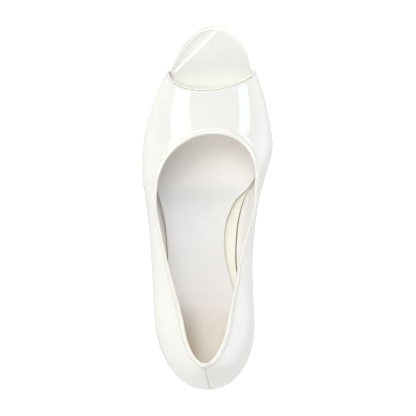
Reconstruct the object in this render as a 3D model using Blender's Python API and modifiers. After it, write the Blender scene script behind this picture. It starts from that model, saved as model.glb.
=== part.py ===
# Peep toe pump, left shoe: hollow upper, insole with a covered toe, sock, outsole, heel and heel tip.
# Sizes are in millimetres and turned to metres when a mesh is made.
# +Y points to the toe, +X to the inner (medial) side, +Z up, the shoe stands on z = 0.
import math

import bmesh
import bpy

mm = 0.001
lateral = -1.0
medial = 1.0

# the whole shoe
plan_length = 225.0       # heel back to toe tip, seen from above
ball_width = 83.5         # over the upper at the joints
heel_height = 72.0        # floor to the underside of the sole at the heel back
toe_spring = 5.8          # lift of the sole at the toe tip
spring_station_share = 0.7165    # where the toe starts to lift
spring_power = 2.2        # how late the toe lifts
quarter_height = 63.0     # underside of the sole to the topline at the heel back
vamp_height = 41.0        # underside of the sole to the vamp ridge at mid vamp
wall_rise_height = 20.0   # lower edge of the side wall to its widest line, at the arch
tuck_width = 5.0          # how far the wall turns in under its widest line, at the heel back
ridge_offset = 12.0       # vamp ridge to the medial side of the middle, at the throat

# thicknesses and the clearance between fitted pieces
clearance = 0.3
wall = 1.6
sole_thickness = 3.2
insole_thickness = 2.2
sock_thickness = 0.9

# raised bindings round the collar and along the toe opening
collar_band = 2.2
toe_band = 1.9
band_step = 0.45
band_slope_width = 0.3

# heel end of the widest outline
heel_centre_share = 0.192 # station where the heel curve starts
heel_drift_width = 2.6    # sideways drift of the heel curve towards its back
heel_power = 2.08

# back and front ends of the collar opening
collar_back_centre_share = 0.183
collar_back_length = 22.0
throat_centre_share = 0.552
throat_length = 29.5
throat_drift_width = 4.3
collar_power = 2.04
collar_taper = 0.2        # how much the back end of the collar narrows before its curve
collar_blend_share = 0.1  # stations over which the collar's height meets the vamp

# toe opening
opening_station_share = 0.874    # where the side walls stop
opening_depth = 13.8
opening_offset = -1.0
opening_lateral_power = 2.1
opening_medial_power = 1.75

# toe end of the insole, which shows in the opening
toe_centre_share = 0.7965
toe_half_width = 28.4
toe_offset = 1.4
toe_drift_width = 2.8
toe_power = 1.97
toe_join_start_share = 0.868
toe_join_end_share = 0.905
toe_round_radius = 0.7

# sole edges and sock
sole_inset = 0.4
sole_toe_inset = 0.7
sole_join_start_share = 0.835
sole_join_end_share = 0.877
sock_border = 1.2
sock_front_share = 0.786
sock_arch_border = 6.6
sock_arch_start_share = 0.17
sock_arch_end_share = 0.585
sock_arch_flat_share = 0.15      # share of the arch border that keeps its full width

# heel block and its top piece
heel_seat_width = 46.0
heel_tip_height = 5.0
heel_ring_points = 28
heel_front_power = 4.0
heel_tip_shrink = 0.15

# share of a wall section that lies below its widest line
low_share = 0.25

# widest outline, shares of the ball width, with rise and tuck of the wall below it as shares of
# the wall rise and the tuck
outline_rows = [
    # station, lateral, medial, rise, lateral tuck, medial tuck
    (0.000, 0.352, 0.373, 0.900, 1.00, 1.00),
    (0.192, 0.352, 0.373, 0.900, 1.04, 1.08),
    (0.260, 0.369, 0.362, 0.940, 1.26, 1.48),
    (0.340, 0.392, 0.355, 1.000, 1.52, 1.88),
    (0.420, 0.422, 0.370, 1.000, 1.56, 2.04),
    (0.500, 0.461, 0.398, 0.925, 1.26, 1.76),
    (0.560, 0.491, 0.4395, 0.800, 0.92, 1.00),
    (0.600, 0.500, 0.4725, 0.740, 0.84, 0.84),
    (0.645, 0.494, 0.500, 0.700, 0.80, 0.80),
    (0.700, 0.472, 0.491, 0.660, 0.68, 0.70),
    (0.760, 0.429, 0.460, 0.590, 0.48, 0.52),
    (0.820, 0.371, 0.417, 0.470, 0.24, 0.28),
    (0.874, 0.3065, 0.3675, 0.320, 0.06, 0.06),
    (0.930, 0.232, 0.308, 0.225, 0.02, 0.02),
]

# inner edge of the collar, shares of the ball width; its height is a share of the heel height
# plus a share of the quarter height
collar_rows = [
    # station, lateral, medial, heel share, quarter share
    (0.078, 0.111, 0.1765, 0.942, 1.020),
    (0.130, 0.111, 0.1765, 0.903, 0.920),
    (0.183, 0.111, 0.1765, 0.858, 0.818),
    (0.240, 0.1585, 0.2025, 0.770, 0.755),
    (0.300, 0.214, 0.235, 0.605, 0.752),
    (0.360, 0.2635, 0.2625, 0.430, 0.762),
    (0.420, 0.310, 0.3115, 0.265, 0.752),
    (0.480, 0.3485, 0.353, 0.125, 0.738),
    (0.525, 0.3545, 0.364, 0.050, 0.713),
    (0.552, 0.351, 0.363, 0.020, 0.692),
]

# ridge of the vamp, shares of the ridge offset and of the vamp height
ridge_rows = [
    # station, offset, height over the sole
    (0.552, 1.00, 1.520),
    (0.619, 0.80, 1.220),
    (0.683, 0.62, 1.000),
    (0.752, 0.40, 0.845),
    (0.814, 0.23, 0.725),
    (0.880, 0.20, 0.600),
]

# underside of the sole, share of the heel height
arch_rows = [
    # station, height
    (0.000, 1.000),
    (0.170, 0.8735),
    (0.205, 0.8475),
    (0.263, 0.7050),
    (0.330, 0.5150),
    (0.397, 0.3250),
    (0.463, 0.1450),
    (0.530, 0.0300),
    (0.583, 0.0000),
    (1.000, 0.0000),
]

# heel block from the seat down, shares of the heel seat width; the tilt of a ring is its share of
# the seat's slope
heel_rows = [
    # drop from the seat, half width, centre from the heel back, back depth, front depth, tilt
    (0.000, 0.500, 0.674, 0.548, 0.261, 1.00),
    (0.060, 0.483, 0.674, 0.537, 0.246, 1.00),
    (0.160, 0.400, 0.643, 0.461, 0.222, 0.80),
    (0.300, 0.287, 0.578, 0.335, 0.191, 0.45),
    (0.460, 0.204, 0.517, 0.239, 0.161, 0.15),
    (0.640, 0.157, 0.470, 0.178, 0.137, 0.00),
    (0.820, 0.133, 0.446, 0.146, 0.122, 0.00),
    (1.000, 0.124, 0.437, 0.133, 0.115, 0.00),
]

# how finely the pieces are divided
side_columns = 17
heel_columns = 18
vamp_side_columns = 15
corner_columns = 2
edge_columns = 20
wall_rows = 8
station_step = 5.0
end_stations = 10
end_flat_share = 0.4      # the narrow flat left at a rounded end, as a share of a station
throat_side_angle = 50.0
throat_corner_angle = 52.5
throat_spread = 1.15      # how the side columns crowd at the throat
slope_step_share = 0.004  # stations over which the slope of the sole is taken
length_samples = 24       # points that measure a column
end_reach_share = 0.07    # stations over which a layer's end is divided more finely


def place_y(station):
    return (station - 0.5) * plan_length


def monotone_curve(rows, column, scale):
    # cubic through one column of a table that never overshoots its rows
    xs = [row[0] for row in rows]
    ys = [row[column] * scale for row in rows]
    slopes = [(ys[i + 1] - ys[i]) / (xs[i + 1] - xs[i]) for i in range(len(xs) - 1)]
    tangents = [slopes[0]]
    for before, after in zip(slopes, slopes[1:]):
        tangents.append(2.0 * before * after / (before + after) if before * after > 0.0 else 0.0)
    tangents.append(slopes[-1])

    def value(x):
        x = min(max(x, xs[0]), xs[-1])
        i = 0
        while i < len(xs) - 2 and x > xs[i + 1]:
            i += 1
        width = xs[i + 1] - xs[i]
        t = (x - xs[i]) / width
        return ((2 * t ** 3 - 3 * t ** 2 + 1) * ys[i] + (t ** 3 - 2 * t ** 2 + t) * width * tangents[i]
                + (3 * t ** 2 - 2 * t ** 3) * ys[i + 1] + (t ** 3 - t ** 2) * width * tangents[i + 1])

    return value


def spline_curve(rows, column, scale):
    # natural cubic spline through one column of a table
    xs = [row[0] for row in rows]
    ys = [row[column] * scale for row in rows]
    count = len(xs)
    bends = [0.0] * count
    carry = [0.0] * count
    for i in range(1, count - 1):
        before = xs[i] - xs[i - 1]
        after = xs[i + 1] - xs[i]
        share = before / (before + after)
        pivot = share * bends[i - 1] + 2.0
        jump = (ys[i + 1] - ys[i]) / after - (ys[i] - ys[i - 1]) / before
        bends[i] = (share - 1.0) / pivot
        carry[i] = (6.0 * jump / (before + after) - share * carry[i - 1]) / pivot
    for i in range(count - 2, -1, -1):
        bends[i] = bends[i] * bends[i + 1] + carry[i]

    def value(x):
        x = min(max(x, xs[0]), xs[-1])
        i = 0
        while i < count - 2 and x > xs[i + 1]:
            i += 1
        width = xs[i + 1] - xs[i]
        high = (x - xs[i]) / width
        low = 1.0 - high
        return (low * ys[i] + high * ys[i + 1]
                + ((low ** 3 - low) * bends[i] + (high ** 3 - high) * bends[i + 1]) * width ** 2 / 6.0)

    return value


def ease(value, start, end):
    share = min(max((value - start) / (end - start), 0.0), 1.0)
    return share * share * (3.0 - 2.0 * share)


def round_share(share, power):
    return max(1.0 - abs(share) ** power, 0.0) ** (1.0 / power)


half_curves = {lateral: spline_curve(outline_rows[1:], 1, ball_width),
               medial: spline_curve(outline_rows[1:], 2, ball_width)}
rise_curve = monotone_curve(outline_rows, 3, wall_rise_height)
tuck_curves = {lateral: monotone_curve(outline_rows, 4, tuck_width),
               medial: monotone_curve(outline_rows, 5, tuck_width)}
collar_curves = {lateral: spline_curve(collar_rows[2:], 1, ball_width),
                 medial: spline_curve(collar_rows[2:], 2, ball_width)}
collar_heel_curve = spline_curve(collar_rows, 3, heel_height)
collar_quarter_curve = spline_curve(collar_rows, 4, quarter_height)
ridge_offset_curve = spline_curve(ridge_rows, 1, ridge_offset)
ridge_height_curve = spline_curve(ridge_rows, 2, vamp_height)
arch_curve = monotone_curve(arch_rows, 1, heel_height)


def sole_under(station):
    lift = max(station - spring_station_share, 0.0) / (1.0 - spring_station_share)
    return arch_curve(station) + toe_spring * lift ** spring_power


def sole_height(station, above):
    # height of a layer that lies a given distance over the underside of the sole
    run = 2.0 * slope_step_share * plan_length
    ahead = sole_under(min(station + slope_step_share, 1.0))
    behind = sole_under(max(station - slope_step_share, 0.0))
    slope = (ahead - behind) / run
    return sole_under(station) + above * math.hypot(1.0, slope)


upper_base = sole_thickness + clearance


def outline_x(station, side, inset):
    # edge of the widest outline at a station, moved inwards by the inset
    half = half_curves[side](max(station, heel_centre_share))
    if station >= heel_centre_share:
        return side * (half - inset)
    half_width, middle = heel_middle()
    depth = (heel_centre_share - station) * plan_length / (heel_centre_share * plan_length - inset)
    middle += heel_drift_width * depth
    return middle + side * (half_width - inset) * round_share(min(depth, 1.0), heel_power)


def heel_middle():
    left = half_curves[lateral](heel_centre_share)
    right = half_curves[medial](heel_centre_share)
    return (left + right) / 2.0, (right - left) / 2.0


def heel_end(turn, inset):
    # point on the heel curve of the outline, turn 0 on the lateral and 1 on the medial side
    angle = math.pi * turn
    half_width, middle = heel_middle()
    across = -math.copysign(abs(math.cos(angle)) ** (2.0 / heel_power), math.cos(angle))
    back = abs(math.sin(angle)) ** (2.0 / heel_power)
    x = middle + heel_drift_width * back + (half_width - inset) * across
    return x, place_y(heel_centre_share) - (heel_centre_share * plan_length - inset) * back


def collar_back(turn):
    angle = math.pi * turn
    left = collar_curves[lateral](collar_back_centre_share) + wall
    right = collar_curves[medial](collar_back_centre_share) + wall
    across = -math.copysign(abs(math.cos(angle)) ** (2.0 / collar_power), math.cos(angle))
    back = abs(math.sin(angle)) ** (2.0 / collar_power)
    x = (right - left) / 2.0 + (left + right) / 2.0 * across * (1.0 - collar_taper * back)
    return x, place_y(collar_back_centre_share) - (collar_back_length + wall) * back


def throat_edge(turn):
    # front end of the collar, turn 0 on the lateral and 1 on the medial side
    angle = math.pi * turn
    left = collar_curves[lateral](throat_centre_share) + wall
    right = collar_curves[medial](throat_centre_share) + wall
    across = -math.copysign(abs(math.cos(angle)) ** (2.0 / collar_power), math.cos(angle))
    ahead = abs(math.sin(angle)) ** (2.0 / collar_power)
    x = (right - left) / 2.0 + throat_drift_width * ahead + (left + right) / 2.0 * across
    return x, place_y(throat_centre_share) + (throat_length + wall) * ahead


def vamp_point(q, y):
    # vamp surface, q 0 at the lateral feather edge, 0.5 on the ridge and 1 at the medial one
    station = y / plan_length + 0.5
    side = lateral if q < 0.5 else medial
    share = 2.0 * min(q, 1.0 - q)
    wide = outline_x(station, side, 0.0)
    low = sole_height(station, upper_base)
    rise = rise_curve(station)
    if share <= low_share:
        down = 1.0 - share / low_share
        return wide - side * tuck_curves[side](station) * down ** 2, y, low + rise * (1.0 - down)
    angle = (share - low_share) / (1.0 - low_share) * math.pi / 2.0
    ridge = ridge_offset_curve(station)
    top = sole_under(station) + ridge_height_curve(station)
    return (ridge + (wide - ridge) * math.cos(angle), y,
            low + rise + (top - low - rise) * math.sin(angle))


def vamp_share(x, y):
    # the q of a plan position on the vamp
    station = y / plan_length + 0.5
    ridge = ridge_offset_curve(station)
    side = lateral if x < ridge else medial
    wide = outline_x(station, side, 0.0)
    angle = math.acos(min(abs(x - ridge) / abs(wide - ridge), 1.0))
    share = low_share + (1.0 - low_share) * angle / (math.pi / 2.0)
    return share / 2.0 if side == lateral else 1.0 - share / 2.0


def collar_angle(side):
    # how far round its section the collar sits where the throat begins
    ridge = ridge_offset_curve(throat_centre_share)
    wide = outline_x(throat_centre_share, side, 0.0)
    top = side * (collar_curves[side](throat_centre_share) + wall)
    return math.acos(abs(top - ridge) / abs(wide - ridge))


def collar_height(station, side):
    # table height, led into the height of the vamp surface where the throat begins
    top = side * (collar_curves[side](throat_centre_share) + wall)
    y = place_y(throat_centre_share)
    gap = vamp_point(vamp_share(top, y), y)[2]
    gap -= collar_heel_curve(throat_centre_share) + collar_quarter_curve(throat_centre_share)
    height = collar_heel_curve(station) + collar_quarter_curve(station)
    return height + gap * ease(station, throat_centre_share - collar_blend_share, throat_centre_share)


def side_column(foot, wide, top, top_z, angle):
    # returns the wall curve of one column, 0 at the collar and 1 at the feather edge
    station = wide[1] / plan_length + 0.5
    foot_station = foot[1] / plan_length + 0.5
    low = sole_height(foot_station, upper_base)
    rise = rise_curve(station)
    wide_z = low + rise
    top_share = low_share + (1.0 - low_share) * angle / (math.pi / 2.0)

    def point(v):
        share = top_share * (1.0 - v)
        if share <= low_share:
            down = (1.0 - share / low_share) ** 2
            return (wide[0] + (foot[0] - wide[0]) * down, wide[1] + (foot[1] - wide[1]) * down,
                    wide_z - rise * (1.0 - share / low_share))
        turn = (share - low_share) / (1.0 - low_share) * math.pi / 2.0
        inward = (1.0 - math.cos(turn)) / (1.0 - math.cos(angle))
        upward = math.sin(turn) / math.sin(angle)
        return (wide[0] + (top[0] - wide[0]) * inward, wide[1] + (top[1] - wide[1]) * inward,
                wide_z + (top_z - wide_z) * upward)

    return point


def vamp_column(inner, outer):
    def point(v):
        return vamp_point(inner[0] + (outer[0] - inner[0]) * v, inner[1] + (outer[1] - inner[1]) * v)

    return point


def opening_edge(turn):
    # edge of the toe opening on the vamp, turn 0 at its lateral and 1 at its medial corner
    y_end = place_y(opening_station_share)
    across = -math.cos(math.pi * turn)
    if across < 0.0:
        reach = opening_offset - outline_x(opening_station_share, lateral, 0.0)
        power = opening_lateral_power
    else:
        reach = outline_x(opening_station_share, medial, 0.0) - opening_offset
        power = opening_medial_power
    y = y_end - opening_depth * round_share(across, power)
    return vamp_share(opening_offset + reach * across, y), y


def vamp_columns():
    # columns from the throat to the side walls and the toe opening, lateral to medial
    start = place_y(throat_centre_share)
    end = place_y(opening_station_share)
    columns = []

    def add(outer, degrees, band):
        x, y = throat_edge(degrees / 180.0)
        columns.append((vamp_column((vamp_share(x, y), y), outer), band))

    corner = low_share / 2.0
    for i in range(vamp_side_columns):
        share = i / vamp_side_columns
        add((0.0, start + (end - start) * share), throat_side_angle * share ** throat_spread, 0.0)
    for i in range(corner_columns):
        share = i / corner_columns
        degrees = throat_side_angle + (throat_corner_angle - throat_side_angle) * share
        add((corner * share, end), degrees, share)
    for i in range(edge_columns + 1):
        share = i / edge_columns
        degrees = throat_corner_angle + (180.0 - 2.0 * throat_corner_angle) * share
        add(opening_edge(share), degrees, 1.0)
    for i in range(corner_columns - 1, -1, -1):
        share = i / corner_columns
        degrees = 180.0 - throat_side_angle - (throat_corner_angle - throat_side_angle) * share
        add((1.0 - corner * share, end), degrees, share)
    for i in range(vamp_side_columns - 1, -1, -1):
        share = i / vamp_side_columns
        add((1.0, start + (end - start) * share), 180.0 - throat_side_angle * share ** throat_spread, 0.0)
    return columns


def quarter_columns():
    # columns down the sides and round the heel, medial to lateral
    columns = []
    last = (throat_centre_share - heel_centre_share) / side_columns
    for side in (medial, lateral):
        run = []
        for i in range(1, side_columns + 1):
            station = throat_centre_share - last * i
            run_share = i / side_columns
            top_station = throat_centre_share - (throat_centre_share - collar_back_centre_share) * run_share
            tuck = tuck_curves[side](station)
            foot = (outline_x(station, side, tuck), place_y(station))
            wide = (outline_x(station, side, 0.0), place_y(station))
            top = (side * (collar_curves[side](top_station) + wall), place_y(top_station))
            run.append(side_column(foot, wide, top, collar_height(top_station, side), collar_angle(side)))
        columns.append(run)
    heel_run = []
    for i in range(1, heel_columns):
        turn = 1.0 - i / heel_columns
        tuck = tuck_curves[lateral](0.0)
        edge = tuck_curves[medial if turn > 0.5 else lateral](heel_centre_share) - tuck
        tuck += edge * abs(2.0 * turn - 1.0) ** 2
        wide = heel_end(turn, 0.0)
        foot = heel_end(turn, tuck)
        top = collar_back(turn)
        top_z = collar_height(top[1] / plan_length + 0.5, lateral)
        angle = collar_angle(lateral) + (collar_angle(medial) - collar_angle(lateral)) * turn
        heel_run.append(side_column(foot, wide, top, top_z, angle))
    ordered = columns[0] + heel_run + columns[1][::-1]
    return [(column, 0.0) for column in ordered]


def row_shares(column):
    # rows of one column, with the two bindings at fixed widths
    points = [column(i / length_samples) for i in range(length_samples + 1)]
    length = sum(math.dist(a, b) for a, b in zip(points, points[1:]))
    start = (collar_band + band_slope_width) / length
    end = 1.0 - (toe_band + band_slope_width) / length
    middle = [start + (end - start) * i / wall_rows for i in range(1, wall_rows)]
    return [0.0, collar_band / length, start] + middle + [end, 1.0 - toe_band / length, 1.0]


def grid_normals(grid):
    # outward unit vectors of a grid that closes in its first direction
    count = len(grid)
    rows = len(grid[0])
    normals = []
    for i in range(count):
        line = []
        for j in range(rows):
            a = grid[(i + 1) % count][j]
            b = grid[i - 1][j]
            c = grid[i][min(j + 1, rows - 1)]
            d = grid[i][max(j - 1, 0)]
            u = [a[k] - b[k] for k in range(3)]
            v = [c[k] - d[k] for k in range(3)]
            n = (u[1] * v[2] - u[2] * v[1], u[2] * v[0] - u[0] * v[2], u[0] * v[1] - u[1] * v[0])
            size = math.sqrt(sum(part * part for part in n))
            line.append([part / size for part in n])
        normals.append(line)
    return normals


def upper_sheet():
    # outer face of the upper as a closed ring of columns, collar first
    columns = vamp_columns() + quarter_columns()
    grid = [[column(v) for v in row_shares(column)] for column, band in columns]
    normals = grid_normals(grid)
    points = []
    for (column, band), line, normal_line in zip(columns, grid, normals):
        last = len(line) - 1
        for j, (point, normal) in enumerate(zip(line, normal_line)):
            lift = band_step if j < 2 else 0.0
            if j > last - 2:
                lift += band_step * band
            points.append([point[k] + normal[k] * lift for k in range(3)])
    rows = len(grid[0])
    faces = []
    for i in range(len(grid)):
        after = (i + 1) % len(grid)
        for j in range(rows - 1):
            faces.append((after * rows + j, after * rows + j + 1, i * rows + j + 1, i * rows + j))
    return points, faces


def make_object(name, points, faces, material, collection):
    mesh = bpy.data.meshes.new(name)
    mesh.from_pydata([[part * mm for part in point] for point in points], [], faces)
    mesh.materials.append(material)
    item = bpy.data.objects.new(name, mesh)
    collection.objects.link(item)
    for polygon in mesh.polygons:
        polygon.use_smooth = True
    return item


def face_outward(item):
    work = bmesh.new()
    work.from_mesh(item.data)
    bmesh.ops.recalc_face_normals(work, faces=work.faces[:])
    work.to_mesh(item.data)
    work.free()


def loft(name, rings, material, collection):
    # closed body through rings of equal count, with a flat face at each end
    size = len(rings[0])
    points = [point for ring in rings for point in ring]
    faces = [tuple(range(size)), tuple(range(len(points) - size, len(points)))]
    for i in range(len(rings) - 1):
        for j in range(size):
            after = (j + 1) % size
            faces.append((i * size + j, i * size + after, (i + 1) * size + after, (i + 1) * size + j))
    item = make_object(name, points, faces, material, collection)
    face_outward(item)
    return item


def layer_stations(back, front):
    # shared stations along the sole, closer together at the two ends of a layer
    common = [i * station_step / plan_length for i in range(int(plan_length / station_step) + 1)]
    ends = []
    for i in range(end_stations):
        share = 1.0 - math.cos(math.pi / 2.0 * (i + end_flat_share) / (end_stations - 1 + end_flat_share))
        ends.append(back + end_reach_share * share)
        ends.append(front - end_reach_share * share)
    inner = [station for station in common if back + end_reach_share < station < front - end_reach_share]
    return sorted(inner + ends)


def layer(name, edge, back, front, low, high, chamfer, material, collection):
    # a sheet that follows the sole, low and high over its underside
    rings = []
    for station in layer_stations(back, front):
        left = edge(station, lateral)
        right = edge(station, medial)
        cut = min(chamfer, (right - left) / 4.0)
        y = place_y(station)
        bottom = sole_height(station, low)
        top = sole_height(station, high)
        rings.append([(left, y, bottom), (right, y, bottom), (right, y, top - cut), (right - cut, y, top),
                      (left + cut, y, top), (left, y, top - cut)] if chamfer
                     else [(left, y, bottom), (right, y, bottom), (right, y, top), (left, y, top)])
    return loft(name, rings, material, collection)


def toe_x(station, side, inset):
    # edge of the toe end of the insole
    reach = (1.0 - toe_centre_share) * plan_length
    depth = (station - toe_centre_share) * plan_length / (reach - inset)
    middle = toe_offset + toe_drift_width * max(depth, 0.0)
    return middle + side * (toe_half_width - inset) * round_share(min(max(depth, 0.0), 1.0), toe_power)


def foot_edge(station, side, inset):
    return outline_x(station, side, tuck_curves[side](station) + inset)


insole_inset = wall + clearance


def insole_edge(station, side):
    share = ease(station, toe_join_start_share, toe_join_end_share)
    inner = foot_edge(min(station, toe_join_end_share), side, insole_inset)
    return inner + (toe_x(station, side, 0.0) - inner) * share


def sole_edge(station, side):
    share = ease(station, sole_join_start_share, sole_join_end_share)
    inner = foot_edge(min(station, sole_join_end_share), side, sole_inset)
    return inner + (toe_x(station, side, sole_toe_inset) - inner) * share


def sock_edge(station, side):
    border = sock_border
    if side == medial:
        middle = (sock_arch_start_share + sock_arch_end_share) / 2.0
        reach = (sock_arch_end_share - sock_arch_start_share) / 2.0
        border += sock_arch_border * (1.0 - ease(abs(station - middle), reach * sock_arch_flat_share, reach))
    return foot_edge(station, side, insole_inset + border)


def back_station(inset):
    # rearmost station of an edge that lies a given inset inside the outline
    return (tuck_curves[lateral](0.0) + inset) / plan_length


def heel_ring(row):
    drop, half_width, centre, back, front, tilt = row
    half_width *= heel_seat_width
    centre *= heel_seat_width
    back *= heel_seat_width
    front *= heel_seat_width
    station = centre / plan_length
    low = heel_tip_height + clearance
    seat = sole_height(station, -clearance)
    level = seat + (low - seat) * drop
    y_centre = -plan_length / 2.0 + centre
    middle = heel_middle()[1] + heel_drift_width * (heel_centre_share - station) / heel_centre_share
    ring = []
    for i in range(heel_ring_points):
        angle = 2.0 * math.pi * i / heel_ring_points
        power = heel_power if math.sin(angle) < 0.0 else heel_front_power
        depth = back if math.sin(angle) < 0.0 else front
        x = middle + half_width * math.copysign(abs(math.cos(angle)) ** (2.0 / power), math.cos(angle))
        y = y_centre + depth * math.copysign(abs(math.sin(angle)) ** (2.0 / power), math.sin(angle))
        slope = (sole_height(y / plan_length + 0.5, -clearance) - seat) * tilt
        ring.append((x, y, level + slope))
    return ring


def tip_ring(z):
    ring = heel_ring(heel_rows[-1])
    x_middle = sum(point[0] for point in ring) / len(ring)
    y_middle = sum(point[1] for point in ring) / len(ring)
    share = 1.0 - heel_tip_shrink / (heel_rows[-1][1] * heel_seat_width)
    return [(x_middle + (x - x_middle) * share, y_middle + (y - y_middle) * share, z) for x, y, level in ring]


def make_material(name, colour, roughness):
    material = bpy.data.materials.new(name)
    material.use_nodes = True
    shader = material.node_tree.nodes["Principled BSDF"]
    shader.inputs["Base Color"].default_value = (*colour, 1.0)
    shader.inputs["Roughness"].default_value = roughness
    shader.inputs["Metallic"].default_value = 0.0
    return material


def build():
    for item in list(bpy.data.objects):
        bpy.data.objects.remove(item, do_unlink=True)
    collection = bpy.data.collections.new("peep_toe_pump")
    bpy.context.scene.collection.children.link(collection)

    patent = make_material("cream_patent", (0.84, 0.83, 0.78), 0.12)
    covered = make_material("covered_insole", (0.83, 0.81, 0.73), 0.2)
    lining = make_material("sock_lining", (0.74, 0.72, 0.67), 0.6)
    sole = make_material("sole_leather", (0.62, 0.47, 0.31), 0.5)
    heel_cover = make_material("heel_cover", (0.84, 0.83, 0.78), 0.15)
    rubber = make_material("tip_rubber", (0.30, 0.25, 0.20), 0.6)

    points, faces = upper_sheet()
    upper = make_object("upper", points, faces, patent, collection)
    shell = upper.modifiers.new("wall", "SOLIDIFY")
    shell.thickness = wall * mm
    shell.offset = -1.0
    shell.use_even_offset = True
    shell.use_rim = True

    sole_back = back_station(sole_inset)
    layer("outsole", sole_edge, sole_back, 1.0 - sole_toe_inset / plan_length, 0.0, sole_thickness, 0.0,
          sole, collection)
    insole_top = upper_base + insole_thickness
    layer("insole", insole_edge, back_station(insole_inset), 1.0, upper_base, insole_top, toe_round_radius,
          covered, collection)
    sock_low = insole_top + clearance
    layer("sock", sock_edge, back_station(insole_inset + sock_border), sock_front_share, sock_low,
          sock_low + sock_thickness, 0.0, lining, collection)

    loft("heel", [heel_ring(row) for row in heel_rows], heel_cover, collection)
    loft("heel_tip", [tip_ring(heel_tip_height), tip_ring(0.0)], rubber, collection)


build()
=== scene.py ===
import math

import bpy
import bmesh
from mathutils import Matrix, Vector


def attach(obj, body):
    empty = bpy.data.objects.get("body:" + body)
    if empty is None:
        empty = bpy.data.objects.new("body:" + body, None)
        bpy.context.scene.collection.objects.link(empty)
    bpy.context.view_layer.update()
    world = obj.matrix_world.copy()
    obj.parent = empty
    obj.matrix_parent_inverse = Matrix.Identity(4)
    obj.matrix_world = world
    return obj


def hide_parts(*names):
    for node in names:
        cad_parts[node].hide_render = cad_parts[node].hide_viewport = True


# Peep toe pump, the left shoe of a pair, cream patent leather.
# Shapes are worked out in millimetres, +Y to the toe, and become metres in addMesh.

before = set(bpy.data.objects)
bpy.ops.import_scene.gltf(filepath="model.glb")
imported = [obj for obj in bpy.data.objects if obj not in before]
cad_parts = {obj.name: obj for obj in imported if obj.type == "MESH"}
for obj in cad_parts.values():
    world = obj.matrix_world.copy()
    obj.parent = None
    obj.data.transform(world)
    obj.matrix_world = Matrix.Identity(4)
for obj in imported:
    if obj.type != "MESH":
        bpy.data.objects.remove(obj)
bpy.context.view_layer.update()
print("frame loaded:", sorted(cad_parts))

mm = 0.001
lateral = -1.0
medial = 1.0

shoe = {
    "planLength": 225.0,        # heel back to toe tip, from above
    "ballWidth": 83.5,
    "heelHeight": 72.0,         # floor to the sole at the heel back
    "toeSpring": 5.8,
    "springPower": 2.2,
    "springStation": 0.7165,    # where the toe starts to lift
    "quarterHeight": 63.0,
    "vampHeight": 41.0,
}

upper = {
    "wall": 1.6,
    "base": 3.5,                # lower edge over the underside of the sole
    "rimRows": 3,
    "grooveRows": 3,            # rows of each needle line
    "turnedRows": 3,            # rows of the binding that show inside
    "middleRows": 24,
    "lowShare": 0.25,           # share of a wall section below its widest line
    "heelCentre": 0.192,
    "heelLean": 2.6,
    "heelPower": 2.08,
    "collarBackCentre": 0.183,
    "collarBackLength": 22.0,
    "throatCentre": 0.552,
    "throatLength": 29.5,
    "throatLean": 4.3,
    "collarPower": 2.04,
    "collarTaper": 0.2,
    "openingStation": 0.874,
    "openingDepth": 13.8,
    "openingOffset": -1.0,
    "openingLateralPower": 2.1,
    "openingMedialPower": 1.75,
    "throatSideAngle": 50.0,
    "throatCornerAngle": 52.5,
    "throatSpread": 1.15,       # bunches the columns of the throat towards its sides
    "throatBlend": 0.1,         # run over which the collar takes the height of the vamp
    "sideColumns": 44,
    "heelColumns": 54,
    "vampSideColumns": 42,
    "cornerColumns": 6,
    "edgeColumns": 66,
    "lengthSteps": 24,
    "rimFullness": 0.85,        # depth of the rolled edges against a half round
    "seamWidth": 0.004,         # half width of the back seam, in turns of the heel curve
    "seamDrift": 0.046,         # how far the seam runs to the medial side on its way down
    "seamColumns": 40,
    "seamMargin": 3.0,          # half widths of finer columns on each side of it
    "seamTop": 2,               # first row of it
    "seamReach": 0.8,           # share of its half width that takes the seam tone
    "seamDepth": 0.22,
    "frontBinding": 0.6,        # the binding of the toe opening is narrower by this share
    "folds": 5.0,               # long folds of the lining along the medial arch
    "foldDepth": 0.22,
    "foldBack": (-52.0, -30.0),
    "foldFront": (-2.0, 14.0),
}

# widest outline, shares of the ball width, with rise and tuck of the wall below it in mm
outlineRows = [
    # station, lateral, medial, rise, lateral tuck, medial tuck
    (0.000, 0.352, 0.373, 18.0, 5.0, 5.0),
    (0.192, 0.352, 0.373, 18.0, 5.2, 5.4),
    (0.260, 0.369, 0.362, 18.8, 6.3, 7.4),
    (0.340, 0.392, 0.355, 20.0, 7.6, 9.4),
    (0.420, 0.422, 0.370, 20.0, 7.8, 10.2),
    (0.500, 0.461, 0.398, 18.5, 6.3, 8.8),
    (0.560, 0.491, 0.4395, 16.0, 4.6, 5.0),
    (0.600, 0.500, 0.4725, 14.8, 4.2, 4.2),
    (0.645, 0.494, 0.500, 14.0, 4.0, 4.0),
    (0.700, 0.472, 0.491, 13.2, 3.4, 3.5),
    (0.760, 0.429, 0.460, 11.8, 2.4, 2.6),
    (0.820, 0.371, 0.417, 9.4, 1.2, 1.4),
    (0.874, 0.3065, 0.3675, 6.4, 0.3, 0.3),
    (0.930, 0.232, 0.308, 4.5, 0.1, 0.1),
]

# inner edge of the collar, shares of the ball width; its height is a share of the heel height
# plus a share of the quarter height
collarRows = [
    # station, lateral, medial, heel share, quarter share
    (0.078, 0.111, 0.1765, 0.942, 1.020),
    (0.130, 0.111, 0.1765, 0.903, 0.920),
    (0.183, 0.111, 0.1765, 0.858, 0.818),
    (0.240, 0.1585, 0.2025, 0.770, 0.755),
    (0.300, 0.214, 0.235, 0.605, 0.752),
    (0.360, 0.2635, 0.2625, 0.430, 0.762),
    (0.420, 0.310, 0.3115, 0.265, 0.752),
    (0.480, 0.3485, 0.353, 0.125, 0.738),
    (0.525, 0.3545, 0.364, 0.050, 0.713),
    (0.552, 0.351, 0.363, 0.020, 0.692),
]

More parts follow.
